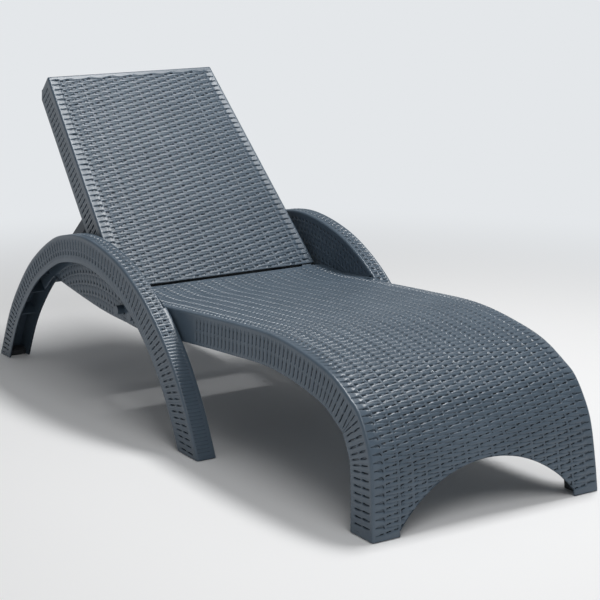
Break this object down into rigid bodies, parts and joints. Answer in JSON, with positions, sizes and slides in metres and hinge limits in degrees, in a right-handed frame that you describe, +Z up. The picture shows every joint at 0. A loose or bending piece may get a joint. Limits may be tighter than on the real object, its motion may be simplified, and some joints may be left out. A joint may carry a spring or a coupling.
{
  "type": "sun lounger",
  "caption": "Moulded resin sun lounger with a woven look: waterfall front leg, arched arms and a backrest that reclines on a notched prop.",
  "frame": {"origin": "on the ground, at the middle of the length and of the width", "axes": "+X to the foot end, +Y to the left of whoever lies on it, +Z up"},
  "size_m": [1.879, 0.73, 0.8313],
  "materials": {
    "slate_resin": "moulded weave, satin, slate grey",
    "prop_resin": "plain moulded, satin, slate grey",
    "zinc_steel": "zinc plated",
    "glide_rubber": "matt, dark"
  },
  "bodies": {
    "seat": {"seat_shell": "slate_resin", "rack_frame": "slate_resin", "left_arm": "slate_resin", "right_arm": "slate_resin", "rack_frame_screw_1": "zinc_steel", "rack_frame_screw_2": "zinc_steel", "rack_frame_screw_3": "zinc_steel", "rack_frame_screw_4": "zinc_steel", "left_arm_screw_1": "zinc_steel", "left_arm_screw_2": "zinc_steel", "left_arm_screw_3": "zinc_steel", "left_arm_screw_4": "zinc_steel", "left_rear_bar_bolt": "zinc_steel", "right_arm_screw_1": "zinc_steel", "right_arm_screw_2": "zinc_steel", "right_arm_screw_3": "zinc_steel", "right_arm_screw_4": "zinc_steel", "right_rear_bar_bolt": "zinc_steel", "left_hinge_pin": "zinc_steel", "right_hinge_pin": "zinc_steel", "left_arm_front_glide": "glide_rubber", "left_arm_rear_glide": "glide_rubber", "left_front_leg_glide": "glide_rubber", "right_arm_front_glide": "glide_rubber", "right_arm_rear_glide": "glide_rubber", "right_front_leg_glide": "glide_rubber"},
    "backrest": {"backrest_shell": "slate_resin", "left_prop_pin": "zinc_steel", "right_prop_pin": "zinc_steel"},
    "prop": {"prop_frame": "prop_resin", "prop_foot_bar": "zinc_steel"}
  },
  "joints": [
    {"name": "backrest_recline", "type": "hinge", "parent": "seat", "child": "backrest", "pos_m": [-0.25195, 0, 0.30307], "axis": [0, 1, 0], "range_deg": [-40, 15]},
    {"name": "prop_fold", "type": "hinge", "parent": "backrest", "child": "prop", "pos_m": [-0.48742, 0, 0.49894], "axis": [0, 1, 0], "range_deg": [-31, 81]}
  ],
  "couplings": [
    {"joint": "prop_fold", "follows": "backrest_recline", "ratio": -2}
  ]
}
